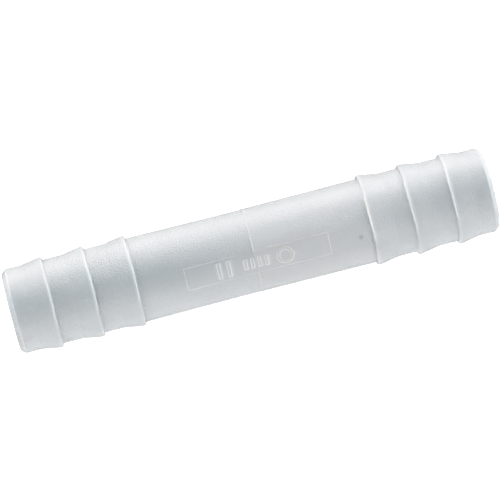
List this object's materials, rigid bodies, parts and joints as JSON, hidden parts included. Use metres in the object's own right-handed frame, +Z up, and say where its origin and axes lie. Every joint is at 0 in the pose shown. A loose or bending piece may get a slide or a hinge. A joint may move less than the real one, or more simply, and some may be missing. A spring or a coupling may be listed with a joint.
{
  "type": "push fit hose coupling",
  "caption": "Straight moulded push-on hose coupling: a plain translucent tube, open right through, with stepped hose barbs at each end for joining hose of 12 mm bore end to end.",
  "frame": {"origin": "centre of the tube, on its axis, at mid-length", "axes": "+X along the flow axis, +Z up as the tube lies on its barbs, with the raised-outline marking panel 30 degrees forward of the top, towards -Y"},
  "size_m": [0.07, 0.0131, 0.013],
  "materials": {
    "natural_polypropylene": "fine-grained matte, uncoloured and milky translucent"
  },
  "bodies": {
    "root": {"connector_body": "natural_polypropylene"}
  },
  "joints": []
}
